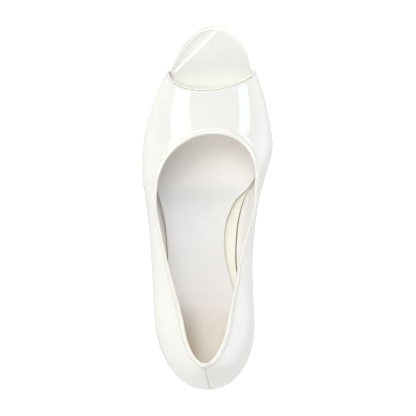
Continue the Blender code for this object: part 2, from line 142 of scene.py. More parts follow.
# ridge of the vamp, offset in mm and share of the vamp height
ridgeRows = [
    # station, offset, height over the sole
    (0.552, 12.0, 1.520),
    (0.619, 9.6, 1.220),
    (0.683, 7.4, 1.000),
    (0.752, 4.8, 0.845),
    (0.814, 2.8, 0.725),
    (0.880, 2.4, 0.600),
]

# underside of the sole, share of the heel height
archRows = [
    # station, height
    (0.000, 1.000),
    (0.170, 0.8735),
    (0.205, 0.8475),
    (0.263, 0.7050),
    (0.330, 0.5150),
    (0.397, 0.3250),
    (0.463, 0.1450),
    (0.530, 0.0300),
    (0.583, 0.0000),
    (1.000, 0.0000),
]

# heel block from the seat down; the tilt of a ring is its share of the seat's slope
heelRows = [
    # drop from the seat, half width, centre from the heel back, back depth, front depth, tilt
    (0.000, 23.0, 31.0, 25.2, 12.0, 1.00),
    (0.060, 22.2, 31.0, 24.7, 11.3, 1.00),
    (0.160, 18.4, 29.6, 21.2, 10.2, 0.80),
    (0.300, 13.2, 26.6, 15.4, 8.8, 0.45),
    (0.460, 9.4, 23.8, 11.0, 7.4, 0.15),
    (0.640, 7.2, 21.6, 8.2, 6.3, 0.00),
    (0.820, 6.1, 20.5, 6.7, 5.6, 0.00),
    (1.000, 5.7, 20.1, 6.1, 5.3, 0.00),
]


def placeY(station):
    return (station - 0.5) * shoe["planLength"]


def stationOf(y):
    return y / shoe["planLength"] + 0.5


def monotoneCurve(rows, column, scale):
    # cubic through one column of a table that never overshoots its rows
    xs = [row[0] for row in rows]
    ys = [row[column] * scale for row in rows]
    slopes = [(ys[i + 1] - ys[i]) / (xs[i + 1] - xs[i]) for i in range(len(xs) - 1)]
    tangents = [slopes[0]]
    for before, after in zip(slopes, slopes[1:]):
        tangents.append(2.0 * before * after / (before + after) if before * after > 0.0 else 0.0)
    tangents.append(slopes[-1])

    def value(x):
        x = min(max(x, xs[0]), xs[-1])
        i = 0
        while i < len(xs) - 2 and x > xs[i + 1]:
            i += 1
        width = xs[i + 1] - xs[i]
        t = (x - xs[i]) / width
        return ((2 * t ** 3 - 3 * t ** 2 + 1) * ys[i] + (t ** 3 - 2 * t ** 2 + t) * width * tangents[i]
                + (3 * t ** 2 - 2 * t ** 3) * ys[i + 1] + (t ** 3 - t ** 2) * width * tangents[i + 1])

    return value


def splineCurve(rows, column, scale):
    # natural cubic spline through one column of a table
    xs = [row[0] for row in rows]
    ys = [row[column] * scale for row in rows]
    count = len(xs)
    bends = [0.0] * count
    carry = [0.0] * count
    for i in range(1, count - 1):
        before = xs[i] - xs[i - 1]
        after = xs[i + 1] - xs[i]
        share = before / (before + after)
        pivot = share * bends[i - 1] + 2.0
        jump = (ys[i + 1] - ys[i]) / after - (ys[i] - ys[i - 1]) / before
        bends[i] = (share - 1.0) / pivot
        carry[i] = (6.0 * jump / (before + after) - share * carry[i - 1]) / pivot
    for i in range(count - 2, -1, -1):
        bends[i] = bends[i] * bends[i + 1] + carry[i]

    def value(x):
        x = min(max(x, xs[0]), xs[-1])
        i = 0
        while i < count - 2 and x > xs[i + 1]:
            i += 1
        width = xs[i + 1] - xs[i]
        high = (x - xs[i]) / width
        low = 1.0 - high
        return (low * ys[i] + high * ys[i + 1]
                + ((low ** 3 - low) * bends[i] + (high ** 3 - high) * bends[i + 1]) * width ** 2 / 6.0)

    return value


def ease(value, start, end):
    share = min(max((value - start) / (end - start), 0.0), 1.0)
    return share * share * (3.0 - 2.0 * share)


def roundShare(share, power):
    return max(1.0 - abs(share) ** power, 0.0) ** (1.0 / power)


def bulge(value, power):
    # signed share of an oval's reach, squarer with a higher power
    return math.copysign(abs(value) ** (2.0 / power), value)


halfCurves = {lateral: splineCurve(outlineRows[1:], 1, shoe["ballWidth"]),
               medial: splineCurve(outlineRows[1:], 2, shoe["ballWidth"])}
riseCurve = monotoneCurve(outlineRows, 3, 1.0)
tuckCurves = {lateral: monotoneCurve(outlineRows, 4, 1.0), medial: monotoneCurve(outlineRows, 5, 1.0)}
collarCurves = {lateral: splineCurve(collarRows[2:], 1, shoe["ballWidth"]),
                 medial: splineCurve(collarRows[2:], 2, shoe["ballWidth"])}
collarHeelCurve = splineCurve(collarRows, 3, shoe["heelHeight"])
collarQuarterCurve = splineCurve(collarRows, 4, shoe["quarterHeight"])
ridgeOffsetCurve = splineCurve(ridgeRows, 1, 1.0)
ridgeHeightCurve = splineCurve(ridgeRows, 2, shoe["vampHeight"])
archCurve = monotoneCurve(archRows, 1, shoe["heelHeight"])


def soleUnder(station):
    lift = max(station - shoe["springStation"], 0.0) / (1.0 - shoe["springStation"])
    return archCurve(station) + shoe["toeSpring"] * lift ** shoe["springPower"]


def soleHeight(station, above):
    # height of a layer that lies a given distance over the underside of the sole
    step = 0.004
    run = 2.0 * step * shoe["planLength"]
    slope = (soleUnder(min(station + step, 1.0)) - soleUnder(max(station - step, 0.0))) / run
    return soleUnder(station) + above * math.hypot(1.0, slope)


def outlineX(station, side, inset):
    # edge of the widest outline at a station, moved inwards by the inset
    centre = upper["heelCentre"]
    if station >= centre:
        return side * (halfCurves[side](station) - inset)
    halfWidth, middle = heelMiddle()
    depth = (centre - station) * shoe["planLength"] / (centre * shoe["planLength"] - inset)
    reach = (halfWidth - inset) * roundShare(min(depth, 1.0), upper["heelPower"])
    return middle + upper["heelLean"] * depth + side * reach


def heelMiddle():
    left = halfCurves[lateral](upper["heelCentre"])
    right = halfCurves[medial](upper["heelCentre"])
    return (left + right) / 2.0, (right - left) / 2.0


def halfOval(turn, power):
    # across from -1 to 1 and depth from 0 to 1, turn 0 on the lateral and 1 on the medial side
    angle = math.pi * turn
    return -bulge(math.cos(angle), power), bulge(math.sin(angle), power)


def heelEnd(turn, inset):
    # point on the heel curve of the outline
    halfWidth, middle = heelMiddle()
    across, back = halfOval(turn, upper["heelPower"])
    x = middle + upper["heelLean"] * back + (halfWidth - inset) * across
    return x, placeY(upper["heelCentre"]) - (upper["heelCentre"] * shoe["planLength"] - inset) * back


def collarX(station, side):
    # outer edge of the collar
    return side * (collarCurves[side](station) + upper["wall"])


def collarEnd(turn, station):
    # middle of an end of the collar, with the reach across and the share of its depth at a turn
    left = collarX(station, lateral)
    right = collarX(station, medial)
    across, depth = halfOval(turn, upper["collarPower"])
    return (left + right) / 2.0, (right - left) / 2.0 * across, depth


def collarBack(turn):
    middle, reach, back = collarEnd(turn, upper["collarBackCentre"])
    x = middle + reach * (1.0 - upper["collarTaper"] * back)
    return x, placeY(upper["collarBackCentre"]) - (upper["collarBackLength"] + upper["wall"]) * back


def throatEdge(turn):
    # front end of the collar
    middle, reach, ahead = collarEnd(turn, upper["throatCentre"])
    x = middle + upper["throatLean"] * ahead + reach
    return x, placeY(upper["throatCentre"]) + (upper["throatLength"] + upper["wall"]) * ahead


def sectionAngle(share):
    # angle round the upper part of a wall section at a share of the section, and back
    return (share - upper["lowShare"]) / (1.0 - upper["lowShare"]) * math.pi / 2.0


def sectionShare(angle):
    return upper["lowShare"] + (1.0 - upper["lowShare"]) * angle / (math.pi / 2.0)


def vampPoint(q, y):
    # vamp surface, q 0 at the lateral feather edge, 0.5 on the ridge and 1 at the medial one
    station = stationOf(y)
    side = lateral if q < 0.5 else medial
    share = 2.0 * min(q, 1.0 - q)
    wide = outlineX(station, side, 0.0)
    low = soleHeight(station, upper["base"])
    rise = riseCurve(station)
    if share <= upper["lowShare"]:
        down = 1.0 - share / upper["lowShare"]
        return wide - side * tuckCurves[side](station) * down ** 2, y, low + rise * (1.0 - down)
    angle = sectionAngle(share)
    ridge = ridgeOffsetCurve(station)
    top = soleUnder(station) + ridgeHeightCurve(station)
    return (ridge + (wide - ridge) * math.cos(angle), y,
            low + rise + (top - low - rise) * math.sin(angle))


def vampShare(x, y):
    # the q of a plan position on the vamp
    station = stationOf(y)
    ridge = ridgeOffsetCurve(station)
    side = lateral if x < ridge else medial
    wide = outlineX(station, side, 0.0)
    angle = math.acos(min(abs(x - ridge) / abs(wide - ridge), 1.0))
    share = sectionShare(angle)
    return share / 2.0 if side == lateral else 1.0 - share / 2.0


def collarAngle(side):
    # how far round its section the collar sits where the throat begins
    throat = upper["throatCentre"]
    ridge = ridgeOffsetCurve(throat)
    return math.acos(abs(collarX(throat, side) - ridge) / abs(outlineX(throat, side, 0.0) - ridge))


def collarHeight(station, side):
    # table height, led into the height of the vamp surface where the throat begins
    throat = upper["throatCentre"]
    y = placeY(throat)
    gap = vampPoint(vampShare(collarX(throat, side), y), y)[2]
    gap -= collarHeelCurve(throat) + collarQuarterCurve(throat)
    height = collarHeelCurve(station) + collarQuarterCurve(station)
    return height + gap * ease(station, throat - upper["throatBlend"], throat)


def sideColumn(foot, wide, top, topZ, angle):
    # the wall curve of one column, 0 at the collar and 1 at the feather edge
    station = stationOf(wide[1])
    low = soleHeight(stationOf(foot[1]), upper["base"])
    rise = riseCurve(station)
    wideZ = low + rise
    topShare = sectionShare(angle)

    def point(v):
        share = topShare * (1.0 - v)
        if share <= upper["lowShare"]:
            down = (1.0 - share / upper["lowShare"]) ** 2
            return (wide[0] + (foot[0] - wide[0]) * down, wide[1] + (foot[1] - wide[1]) * down,
                    wideZ - rise * (1.0 - share / upper["lowShare"]))
        turn = sectionAngle(share)
        inward = (1.0 - math.cos(turn)) / (1.0 - math.cos(angle))
        upward = math.sin(turn) / math.sin(angle)
        return (wide[0] + (top[0] - wide[0]) * inward, wide[1] + (top[1] - wide[1]) * inward,
                wideZ + (topZ - wideZ) * upward)

    return point


def vampColumn(inner, outer):
    def point(v):
        return vampPoint(inner[0] + (outer[0] - inner[0]) * v, inner[1] + (outer[1] - inner[1]) * v)

    return point


def openingEdge(turn):
    # edge of the toe opening on the vamp, turn 0 at its lateral and 1 at its medial corner
    yEnd = placeY(upper["openingStation"])
    across = -math.cos(math.pi * turn)
    if across < 0.0:
        reach = upper["openingOffset"] - outlineX(upper["openingStation"], lateral, 0.0)
        power = upper["openingLateralPower"]
    else:
        reach = outlineX(upper["openingStation"], medial, 0.0) - upper["openingOffset"]
        power = upper["openingMedialPower"]
    y = yEnd - upper["openingDepth"] * roundShare(across, power)
    return vampShare(upper["openingOffset"] + reach * across, y), y


def vampColumns():
    # columns from the throat to the side walls and the toe opening, lateral to medial
    start = placeY(upper["throatCentre"])
    end = placeY(upper["openingStation"])
    columns = []

    def add(outer, degrees, band):
        x, y = throatEdge(degrees / 180.0)
        columns.append((vampColumn((vampShare(x, y), y), outer), band, 0.0))

    feather = upper["lowShare"] / 2.0
    side = upper["throatSideAngle"]
    corner = upper["throatCornerAngle"]
    sideShares = [i / upper["vampSideColumns"] for i in range(upper["vampSideColumns"])]
    cornerShares = [i / upper["cornerColumns"] for i in range(upper["cornerColumns"])]
    for share in sideShares:
        add((0.0, start + (end - start) * share), side * share ** upper["throatSpread"], 0.0)
    for share in cornerShares:
        add((feather * share, end), side + (corner - side) * share, share)
    for i in range(upper["edgeColumns"] + 1):
        share = i / upper["edgeColumns"]
        add(openingEdge(share), corner + (180.0 - 2.0 * corner) * share, 1.0)
    for share in reversed(cornerShares):
        add((1.0 - feather * share, end), 180.0 - side - (corner - side) * share, share)
    for share in reversed(sideShares):
        add((1.0, start + (end - start) * share), 180.0 - side * share ** upper["throatSpread"], 0.0)
    return columns


def quarterColumns():
    # columns down the sides and round the heel, medial to lateral
    columns = []
    count = upper["sideColumns"]
    throat = upper["throatCentre"]
    for side in (medial, lateral):
        run = []
        for i in range(1, count + 1):
            station = throat - (throat - upper["heelCentre"]) * i / count
            topStation = throat - (throat - upper["collarBackCentre"]) * i / count
            tuck = tuckCurves[side](station)
            foot = (outlineX(station, side, tuck), placeY(station))
            wide = (outlineX(station, side, 0.0), placeY(station))
            top = (collarX(topStation, side), placeY(topStation))
            run.append(sideColumn(foot, wide, top, collarHeight(topStation, side), collarAngle(side)))
        columns.append(run)
    count = upper["heelColumns"]
    margin = upper["seamMargin"] * upper["seamWidth"]
    first = 0.5 - margin
    last = 0.5 + upper["seamDrift"] + margin
    turns = [i / count for i in range(1, count) if not first <= i / count <= last]
    fine = upper["seamColumns"]
    turns = sorted(turns + [first + (last - first) * i / fine for i in range(fine + 1)], reverse=True)
    heelRun = []
    for turn in turns:
        tuck = tuckCurves[lateral](0.0)
        edge = tuckCurves[medial if turn > 0.5 else lateral](upper["heelCentre"]) - tuck
        tuck += edge * (2.0 * turn - 1.0) ** 2
        wide = heelEnd(turn, 0.0)
        foot = heelEnd(turn, tuck)
        top = collarBack(turn)
        topZ = collarHeight(stationOf(top[1]), lateral)
        angle = collarAngle(lateral) + (collarAngle(medial) - collarAngle(lateral)) * turn
        heelRun.append((sideColumn(foot, wide, top, topZ, angle), 0.0, turn))
    plain = [[(column, 0.0, 0.0) for column in run] for run in columns]
    return plain[0] + heelRun + plain[1][::-1]


def gridNormals(grid):
    # outward unit vectors of a grid that closes in its first direction
    count = len(grid)
    rows = len(grid[0])
    normals = []
    for i in range(count):
        line = []
        for j in range(rows):
            along = grid[(i + 1) % count][j] - grid[i - 1][j]
            down = grid[i][min(j + 1, rows - 1)] - grid[i][max(j - 1, 0)]
            line.append(along.cross(down).normalized())
        normals.append(line)
    return normals


def addMesh(name, points, faces, materials, faceMaterials=None):
    mesh = bpy.data.meshes.new(name)
    mesh.from_pydata([Vector(point) * mm for point in points], [], faces)
    for material in materials:
        mesh.materials.append(material)
    work = bmesh.new()
    work.from_mesh(mesh)
    work.faces.ensure_lookup_table()
    for face in work.faces:
        face.smooth = True
        if faceMaterials:
            face.material_index = faceMaterials[face.index]
    bmesh.ops.recalc_face_normals(work, faces=work.faces[:])
    work.to_mesh(mesh)
    work.free()
    piece = bpy.data.objects.new(name, mesh)
    bpy.context.scene.collection.objects.link(piece)
    return piece


# rolled edge of a binding: distance from its edge and lift off the upper, both in mm
bindingProfile = [(0.0, 0.08), (0.12, 0.22), (0.3, 0.33), (0.6, 0.4), (0.95, 0.39), (1.2, 0.3),
                  (1.38, 0.12), (1.46, -0.12), (1.6, -0.24), (1.76, -0.14), (2.0, 0.0)]


def columnLength(column):
    steps = upper["lengthSteps"]
    points = [column(i / steps) for i in range(steps + 1)]
    return sum(math.dist(a, b) for a, b in zip(points, points[1:]))


def rowShares(column):
    # rows of both bindings, measured from their edges, and even rows between them
    length = columnLength(column)
    band = [distance / length for distance, lift in bindingProfile]
    count = upper["middleRows"]
    middle = [band[-1] + (1.0 - 2.0 * band[-1]) * i / count for i in range(1, count)]
    return band + middle + [1.0 - share * upper["frontBinding"] for share in reversed(band)]


# the upper's materials, in the order in which its piece takes them
upperSlots = {"skin": 0, "binding": 1, "lining": 2, "collarSeamShade": 3, "toeSeamShade": 4, "backSeam": 5}


def seamDistance(seam, rowShare):
    # distance from the back seam in its half widths
    return (seam - 0.5 - upper["seamDrift"] * rowShare) / upper["seamWidth"]


def upperMesh(materials):
    # outer skin, rolled edges and lining as one closed shell
    columns = vampColumns() + quarterColumns()
    grid = [[Vector(column(v)) for v in rowShares(column)] for column, band, seam in columns]
    normals = gridNormals(grid)
    count = len(bindingProfile)
    rows = len(grid[0])
    rim = upper["rimRows"]
    points = []
    for (column, band, seam), line, normalLine in zip(columns, grid, normals):
        outer = []
        inner = []
        for j, (point, normal) in enumerate(zip(line, normalLine)):
            lift = -upper["seamDepth"] * math.exp(-seamDistance(seam, j / (rows - 1)) ** 2)
            if j < count:
                lift += bindingProfile[j][1]
            if j >= rows - count:
                lift += bindingProfile[rows - 1 - j][1] * band
            outer.append(point + normal * lift)
            # the lining drags into a few long shallow folds along the medial arch
            window = ease(point.y, *upper["foldBack"]) * (1.0 - ease(point.y, *upper["foldFront"]))
            fold = math.sin(math.tau * upper["folds"] * j / (rows - 1)) * window * (point.x > 0.0)
            inner.append(point - normal * (upper["wall"] + upper["foldDepth"] * fold))
        low = rolledEdge(outer[-1], inner[-1], (line[-1] - line[-2]).normalized(), rim,
                         band * upper["frontBinding"])
        high = rolledEdge(inner[0], outer[0], (line[0] - line[1]).normalized(), rim, 1.0)
        points += outer + low + inner[::-1] + high
    ring = 2 * rows + 2 * rim
    # rows of a ring that show as needle line with its painted shade, as binding and as binding turned to the
    # inside
    bound = count - 2
    groove = upper["grooveRows"]
    turned = upper["turnedRows"]
    collarGroove = range(bound - groove, bound)
    toeGroove = range(rows - bound - 1, rows - bound - 1 + groove)
    toeBinding = range(rows - bound + 1, rows + rim - 1 + turned)
    turnedBinding = range(ring - rim - turned, ring)
    skin = range(rows + rim - 1)
    faces = []
    slots = []
    for i in range(len(grid)):
        after = (i + 1) % len(grid)
        frontEdge = columns[i][1] > 0.5
        seam = (columns[i][2] + columns[after][2]) / 2.0
        for j in range(ring):
            nextRow = (j + 1) % ring
            faces.append((i * ring + j, i * ring + nextRow, after * ring + nextRow, after * ring + j))
            beside = abs(seamDistance(seam, (j + 0.5) / (rows - 1)))
            if beside < upper["seamReach"] and upper["seamTop"] <= j < rows:
                name = "backSeam"
            elif j in collarGroove:
                name = "collarSeamShade"
            elif j in toeGroove and frontEdge:
                name = "toeSeamShade"
            elif j < bound or j in turnedBinding or (j in toeBinding and frontEdge):
                name = "binding"
            else:
                name = "skin" if j in skin else "lining"
            slots.append(upperSlots[name])
    return addMesh("patentUpper", points, faces, materials, slots)


def rolledEdge(start, end, outward, count, amount):
    # points of a half round from start to end
    radius = (end - start).length / 2.0
    middle = (start + end) / 2.0
    roll = []
    for k in range(1, count + 1):
        angle = math.pi * k / (count + 1)
        roll.append(middle + (start - middle) * math.cos(angle)
                    + outward * radius * upper["rimFullness"] * math.sin(angle) * amount)
    return roll


stitch = {
    "offset": 2.15,             # from the bound edge
    "pitch": 2.4,
    "length": 1.7,
    "radius": 0.17,
    "sink": 0.05,
    "sides": 6,
    "inward": 0.3,              # share of the wall section that a stitch is turned towards
    "downward": 0.2,            # a normal that points down more than this points into the shoe
    "skip": 2,                  # columns without a stitch at each end of the toe opening
}
# thread of a stitch, as shares: place along it and thickness
threadRings = [(-0.5, 0.35), (-0.36, 0.9), (0.0, 1.0), (0.36, 0.9), (0.5, 0.35)]


def seamStitches(material):
    # single stitches beside the bindings, laid on the upper
    points = []
    faces = []
    collar = []
    front = []
    for column, band, seam in vampColumns() + quarterColumns():
        share = stitch["offset"] / columnLength(column)
        inward = stitch["inward"]
        collar.append([Vector(column(v)) for v in (share, 0.0, inward)])
        if band == 1.0:
            front.append([Vector(column(1.0 - v)) for v in (share, 0.0, inward)])
    addStitchRun(collar, True, points, faces)
    addStitchRun(front[stitch["skip"]:-stitch["skip"]], False, points, faces)
    return addMesh("bindingStitches", points, faces, [material])


def addStitchRun(line, closed, points, faces):
    # stitches at their pitch along a line of places, each with its edge and a place further in
    places = [entry[0] for entry in line]
    if closed:
        places.append(places[0])
    travelled = 0.0
    target = stitch["pitch"] / 2.0
    for (place, edge, inner), following in zip(line, places[1:]):
        step = (following - place).length
        while target <= travelled + step and step > 0.0:
            centre = place.lerp(following, (target - travelled) / step)
            along = (following - place).normalized()
            out = along.cross(edge - inner).normalized()
            if out.z < -stitch["downward"]:
                out = -out
            addStitch(centre, along, out, points, faces)
            target += stitch["pitch"]
        travelled += step


def addStitch(centre, along, out, points, faces):
    # one thread capsule, half sunk into the leather
    across = along.cross(out).normalized()
    first = len(points)
    sides = stitch["sides"]
    for place, size in threadRings:
        for k in range(sides):
            angle = 2.0 * math.pi * k / sides
            ring = across * math.cos(angle) + out * math.sin(angle)
            points.append(centre + along * place * stitch["length"] + ring * stitch["radius"] * size
                          - out * stitch["sink"])
    faces += [tuple(first + k for k in face) for face in tubeFaces(len(threadRings), sides)]


def layerStations(back, front, step, ends, reach):
    # even stations with closer ones over the reach at both rounded ends
    stations = []
    first = 0.25
    for i in range(ends):
        share = 1.0 - math.cos(math.pi / 2.0 * (i + first) / (ends - 1 + first))
        stations.append(back + reach * share)
        stations.append(front - reach * share)
    count = int((front - back - 2.0 * reach) / step)
    stations += [back + reach + (front - back - 2.0 * reach) * i / count for i in range(1, count)]
    return sorted(stations)


def tubeFaces(count, size):
    # walls between rings of one size, then a cap at each end
    faces = []
    for a in range(0, (count - 1) * size, size):
        for j in range(size):
            after = (j + 1) % size
            faces.append((a + j, a + after, a + size + after, a + size + j))
    return faces + [tuple(range(size)), tuple(range((count - 1) * size, count * size))]


def layerMesh(name, stations, edge, section, materials, slotOf=None):
    # loft of closed sections along the sole, each section given as (x, z) points
    points = []
    for station in stations:
        ring = section(station, edge(station, lateral), edge(station, medial))
        points += [(x, placeY(station), z) for x, z in ring]
    size = len(ring)
    slots = [slotOf(j, size) if slotOf else 0 for j in range(size)] * (len(stations) - 1) + [0, 0]
    return addMesh(name, points, tubeFaces(len(stations), size), materials, slots)


def roundedSection(left, right, bottom, top, rounding, divisions, crown):
    # bottom corners square, top corners rounded, crown(x) raises the top
    cut = min(rounding, (right - left) / 4.0)
    corner = 5
    arc = [math.pi / 2.0 * k / corner for k in range(corner)]
    across = left - right + 2.0 * cut
    face = [(right - cut + cut * math.cos(angle), top - cut + cut * math.sin(angle)) for angle in arc]
    face += [(right - cut + across * k / divisions, top) for k in range(divisions + 1)]
    face += [(left + cut - cut * math.cos(angle), top - cut + cut * math.sin(angle)) for angle in arc[::-1]]
    return [(left, bottom), (right, bottom)] + [(x, z + crown(x)) for x, z in face]


def footEdge(station, side, inset):
    return outlineX(station, side, tuckCurves[side](station) + inset)


insole = {
    "inset": 1.68,              # wall and a hair of clearance
    "thickness": 2.2,
    "stations": (0.008, 24, 0.07),      # spacing, extra ones at each end and their reach
    "toeStations": (0.85, 0.0025, 32),  # first one, spacing and count over the toe pad
    "divisions": 96,
    "rounding": 0.3,            # edge along the lining
    "toeRounding": 0.9,         # wrapped edge that shows at the toe
    "toeCentre": 0.7965,
    "toeHalfWidth": 28.4,
    "toeOffset": 1.4,
    "toeLean": 2.8,
    "toePower": 1.97,
    "toeInset": 0.0,
    "joinStart": 0.868,
    "joinEnd": 0.905,
    "padStart": 0.79,           # the pad's relief fades in between these stations
    "padFull": 0.84,
    "borderStart": 0.8,         # outline from which the pad measures its distance
    "borderReach": 0.2,
    "borderSteps": 60,
    "padSlope": 0.365,          # slope of the slanted shoulder of the raised toe pad
    "padShoulderLow": 1.8,      # its width at the lateral end and at the tip
    "padShoulderHigh": 3.0,
    "padRounding": 0.18,
    "padLineLow": (-25.3, 80.4),
    "padLineHigh": (2.8, 108.2),
    "padRim": 1.1,              # flat wrapped rim outside the pad
    "padStep": 1.5,             # width and height of the rise beside the rim
    "padRise": 0.3,
    "padLowGap": 1.2,           # the low side starts this far inside the rim
    "rimLine": 1.45,            # fine groove inside the rim
    "rimLineWidth": 0.35,
    "rimLineDepth": 0.3,
}


def toeX(station, side, inset):
    # rounded toe that the insole and the sole share
    length = (1.0 - insole["toeCentre"]) * shoe["planLength"]
    depth = max((station - insole["toeCentre"]) * shoe["planLength"] / (length - inset), 0.0)
    middle = insole["toeOffset"] + insole["toeLean"] * depth
    reach = (insole["toeHalfWidth"] - inset) * roundShare(min(depth, 1.0), insole["toePower"])
    return middle + side * reach


def layerEdge(layer, station, side):
    # edge that follows the upper and runs into the rounded toe
    share = ease(station, layer["joinStart"], layer["joinEnd"])
    inner = footEdge(min(station, layer["joinEnd"]), side, layer["inset"])
    return inner + (toeX(station, side, layer["toeInset"]) - inner) * share


def insoleEdge(station, side):
    return layerEdge(insole, station, side)


def softRamp(share, rounding):
    # straight slope from 0 to 1 with rounded ends
    share = min(max(share, 0.0), 1.0)
    slope = 1.0 / (1.0 - rounding)
    if share < rounding:
        return slope * share * share / (2.0 * rounding)
    if share > 1.0 - rounding:
        return 1.0 - slope * (1.0 - share) ** 2 / (2.0 * rounding)
    return slope * (share - rounding / 2.0)


def toeBorder():
    # outline of the insole round the toe, as plan points
    steps = insole["borderSteps"]
    turns = [math.pi / 2.0 * i / steps for i in range(steps + 1)]
    stations = [insole["borderStart"] + insole["borderReach"] * math.sin(turn) for turn in turns]
    left = [(insoleEdge(station, lateral), placeY(station)) for station in stations]
    right = [(insoleEdge(station, medial), placeY(station)) for station in stations]
    return left + right[::-1]


def borderDistance(border, x, y):
    nearest = math.inf
    for (x0, y0), (x1, y1) in zip(border, border[1:]):
        dx = x1 - x0
        dy = y1 - y0
        span = dx * dx + dy * dy
        share = min(max(((x - x0) * dx + (y - y0) * dy) / span, 0.0), 1.0) if span > 0.0 else 0.0
        nearest = min(nearest, (x - x0 - dx * share) ** 2 + (y - y0 - dy * share) ** 2)
    return math.sqrt(nearest)


def padLift(border, x, y):
    # the toe pad ends in a soft shoulder, cut slantwise on the lateral side
    x0, y0 = insole["padLineLow"]
    x1, y1 = insole["padLineHigh"]
    length = math.hypot(x1 - x0, y1 - y0)
    slanted = ((x - x0) * (y1 - y0) - (y - y0) * (x1 - x0)) / length
    along = min(max((y - y0) / (y1 - y0), 0.0), 1.0)
    shoulder = insole["padShoulderLow"] + (insole["padShoulderHigh"] - insole["padShoulderLow"]) * along
    rim = borderDistance(border, x, y)
    inside = (rim - insole["padRim"]) / insole["padStep"]
    soft = insole["padRounding"]
    high = softRamp(slanted / shoulder, soft)
    edge = min(high, softRamp(inside, soft))
    low = insole["padSlope"] * shoulder - insole["padRise"]
    low *= softRamp(inside - insole["padLowGap"] / insole["padStep"], soft)
    line = insole["rimLineDepth"] * math.exp(-((rim - insole["rimLine"]) / insole["rimLineWidth"]) ** 2)
    return insole["padRise"] * edge - low * (1.0 - high) - line


def insoleSection(station, left, right):
    y = placeY(station)
    bottom = soleHeight(station, upper["base"])
    top = soleHeight(station, upper["base"] + insole["thickness"])
    fade = ease(station, insole["padStart"], insole["padFull"])
    rounding = insole["rounding"] + (insole["toeRounding"] - insole["rounding"]) * fade

    def crown(x):
        return fade * padLift(toeEdgePoints, x, y) if fade > 0.0 else 0.0

    return roundedSection(left, right, bottom, top, rounding, insole["divisions"], crown)


toeEdgePoints = toeBorder()


outsole = {
    "thickness": 3.2,
    "inset": 0.4,
    "toeInset": 0.7,
    "joinStart": 0.835,
    "joinEnd": 0.877,
    "stations": (0.008, 16, 0.07),
    "divisions": 10,
    "chamfer": 0.5,             # lower edge, broken in two steps
    "chamferShare": 0.3,
}


def outsoleEdge(station, side):
    return layerEdge(outsole, station, side)


def outsoleSection(station, left, right):
    bottom = soleHeight(station, 0.0)
    top = soleHeight(station, outsole["thickness"])
    cut = min(outsole["chamfer"], (right - left) / 6.0)
    small = cut * outsole["chamferShare"]
    steps = outsole["divisions"]
    ring = [(left + cut + (right - left - 2.0 * cut) * k / steps, bottom) for k in range(steps + 1)]
    ring += [(right - small, bottom + small), (right, bottom + cut), (right, top), (left, top),
             (left, bottom + cut), (left + small, bottom + small)]
    return ring


sock = {
    "low": 6.0,                 # over the underside of the sole
    "thickness": 0.9,
    "border": 0.7,
    "front": 0.786,
    "rounding": 0.35,
    "cup": 1.1,                 # rise towards the edges, pressed in by the foot
    "cupPower": 3,
    "stations": (0.008, 14, 0.06),
    "divisions": 30,
}
# medial border of the insole that the sock leaves free: station, width in mm
archBorderRows = [(0.0, 0.7), (0.16, 1.0), (0.225, 2.4), (0.277, 3.9), (0.33, 5.6), (0.365, 6.6), (0.4, 7.3),
                  (0.435, 7.4), (0.467, 6.6), (0.5, 5.1), (0.521, 2.9), (0.54, 1.2), (0.57, 0.7), (1.0, 0.7)]
archBorder = monotoneCurve(archBorderRows, 1, 1.0)


def sockEdge(station, side):
    border = archBorder(station) if side == medial else sock["border"]
    return footEdge(station, side, insole["inset"] + border)


def sockSection(station, left, right):
    bottom = soleHeight(station, sock["low"])
    top = soleHeight(station, sock["low"] + sock["thickness"])
    middle = (left + right) / 2.0
    half = (right - left) / 2.0

    def crown(x):
        return sock["cup"] * abs((x - middle) / half) ** sock["cupPower"]

    return roundedSection(left, right, bottom, top, sock["rounding"], sock["divisions"], crown)


heel = {
    "tipHeight": 5.0,
    "rings": 56,
    "points": 72,
    "frontPower": 4.0,
    "seatGap": 0.3,
    "tipRings": [(5.0, 0.45), (4.7, 0.15), (0.4, 0.15), (0.0, 0.5)],    # height, how far drawn in
}
heelCurves = [monotoneCurve(heelRows, column, 1.0) for column in range(1, 6)]


def heelRing(drop):
    halfWidth, centre, back, front = (curve(drop) for curve in heelCurves[:4])
    tilt = min(max(heelCurves[4](drop), 0.0), 1.0)
    station = centre / shoe["planLength"]
    low = heel["tipHeight"] + heel["seatGap"]
    seat = soleHeight(station, -heel["seatGap"])
    level = seat + (low - seat) * drop
    middle = heelMiddle()[1] + upper["heelLean"] * (upper["heelCentre"] - station) / upper["heelCentre"]
    ring = []
    for i in range(heel["points"]):
        angle = 2.0 * math.pi * i / heel["points"]
        rear = math.sin(angle) < 0.0
        power = upper["heelPower"] if rear else heel["frontPower"]
        depth = back if rear else front
        x = middle + halfWidth * bulge(math.cos(angle), power)
        y = placeY(station) + depth * bulge(math.sin(angle), power)
        slope = (soleHeight(stationOf(y), -heel["seatGap"]) - seat) * tilt
        ring.append((x, y, level + slope))
    return ring


def loftRings(name, rings, materials):
    points = [point for ring in rings for point in ring]
    return addMesh(name, points, tubeFaces(len(rings), len(rings[0])), materials)


def tipRing(z, shrink):
    ring = heelRing(1.0)
    xMiddle = sum(point[0] for point in ring) / len(ring)
    yMiddle = sum(point[1] for point in ring) / len(ring)
    share = 1.0 - shrink / heelRows[-1][1]
    return [(xMiddle + (x - xMiddle) * share, yMiddle + (y - yMiddle) * share, z) for x, y, level in ring]


# materials

def linear(hexColour):
    # sRGB hex to the linear colour that the shader takes
    parts = [int(hexColour[i:i + 2], 16) / 255.0 for i in (0, 2, 4)]
    return tuple(p / 12.92 if p <= 0.04045 else ((p + 0.055) / 1.055) ** 2.4 for p in parts) + (1.0,)


